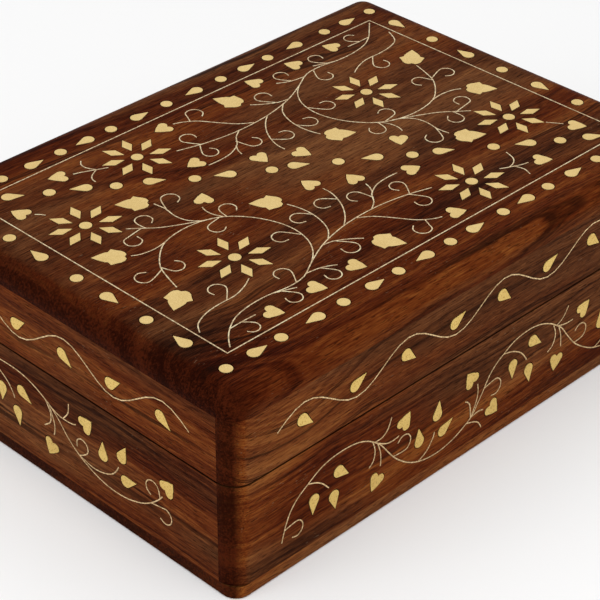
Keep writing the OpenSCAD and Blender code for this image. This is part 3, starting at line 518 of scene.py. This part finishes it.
def add_sheet(mesh, columns, rows, point):
    """Adds a grid of faces, with each point from its column and row, and returns its outline."""
    sheet = [[mesh.verts.new(point(x, y)) for y in rows] for x in columns]
    for i in range(len(columns) - 1):
        for j in range(len(rows) - 1):
            mesh.faces.new((sheet[i][j], sheet[i + 1][j], sheet[i + 1][j + 1], sheet[i][j + 1]))
    first_row = [column[0] for column in sheet]
    last_row = [column[-1] for column in sheet]
    return first_row + sheet[-1][1:] + last_row[-2::-1] + sheet[0][-2:0:-1]


def pad(name, node, body, material, upward):
    """A thin velvet-covered pad: flat where it is glued, folded over and a little full."""
    low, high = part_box(node)
    middle = (low + high) / 2
    half = (high - low) / 2
    fold = FOLD * 2 * half.z
    glued = low.z if upward else high.z
    rise = 1 if upward else -1
    columns = steps_along(half.x, fold)
    rows = steps_along(half.y, fold)

    def on_cloth(x, y):
        return middle.x + x, middle.y + y, glued + rise * cloth_height(x, y, half, fold)

    def on_back(x, y):
        return middle.x + x, middle.y + y, glued

    mesh = bmesh.new()
    cloth = add_sheet(mesh, columns, rows, on_cloth)
    back = add_sheet(mesh, columns, rows, on_back)
    for i in range(len(cloth)):
        mesh.faces.new((cloth[i - 1], cloth[i], back[i], back[i - 1]))
    bmesh.ops.recalc_face_normals(mesh, faces=mesh.faces)
    data = bpy.data.meshes.new(name)
    mesh.to_mesh(data)
    mesh.free()
    data.shade_smooth()
    data.materials.append(material)
    piece = bpy.data.objects.new(name, data)
    bpy.context.scene.collection.objects.link(piece)
    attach(piece, body)
    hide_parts(node)


# ---------------------------------------------------------------- stage


FLOOR_SIZE = 6
LAMP_AIM = Vector((0, 0, 30 * MM))


def make_floor():
    """A pale paper floor under the box."""
    bpy.ops.mesh.primitive_plane_add(size=FLOOR_SIZE, location=(0, 0, 0))
    floor = bpy.context.object
    floor.name = "floor"
    paper = Graph("paper", Roughness=0.9, Specular_IOR_Level=0.0)
    mottle = paper.noise(paper.place, scale=3, detail=2)
    paper.shade("Base Color", paper.mix(mottle, (0.90, 0.90, 0.90), (0.92, 0.92, 0.92)))
    floor.data.materials.append(paper.material)


def make_studio():
    """A white studio all round."""
    world = bpy.data.worlds.new("studio")
    world.use_nodes = True
    background = world.node_tree.nodes["Background"]
    background.inputs["Color"].default_value = (1.0, 1.0, 1.0, 1)
    background.inputs["Strength"].default_value = 0.80
    bpy.context.scene.world = world


def soft_lamp(name, place, size, energy):
    """A square lamp that looks at the middle of the box."""
    lamp = bpy.data.lights.new(name, "AREA")
    lamp.size = size
    lamp.energy = energy
    holder = bpy.data.objects.new(name, lamp)
    holder.location = place
    holder.rotation_euler = (LAMP_AIM - Vector(place)).to_track_quat("-Z", "Y").to_euler()
    bpy.context.scene.collection.objects.link(holder)


def make_camera():
    """A long lens from the front left, above: the view that fits the photograph."""
    place = Vector((-0.36069, -0.35518, 0.35581))
    aim = Vector((-0.015167, -0.012476, 0.0305))
    roll = math.radians(0.217)
    data = bpy.data.cameras.new("camera")
    data.sensor_width = 36
    data.lens = 129.69
    data.clip_start = 0.01
    data.clip_end = 20
    camera = bpy.data.objects.new("camera", data)
    camera.location = place
    camera.rotation_mode = "QUATERNION"
    look = (aim - place).to_track_quat("-Z", "Y")
    camera.rotation_quaternion = look @ Quaternion((0, 0, 1), roll)
    bpy.context.scene.collection.objects.link(camera)
    bpy.context.scene.camera = camera


make_wood()
make_brass()
pile = velvet("velvet_pile")
pad("tray_pad", "tray_lining", "lower_box", pile, upward=True)
pad("lid_pad", "lid_lining", "lid", pile, upward=False)
make_floor()
make_studio()
soft_lamp("key", (-0.35, -0.75, 1.20), size=0.9, energy=7.0)
soft_lamp("fill", (-1.10, 0.15, 0.70), size=0.8, energy=3.0)
make_camera()
bpy.context.scene.view_settings.view_transform = "Standard"
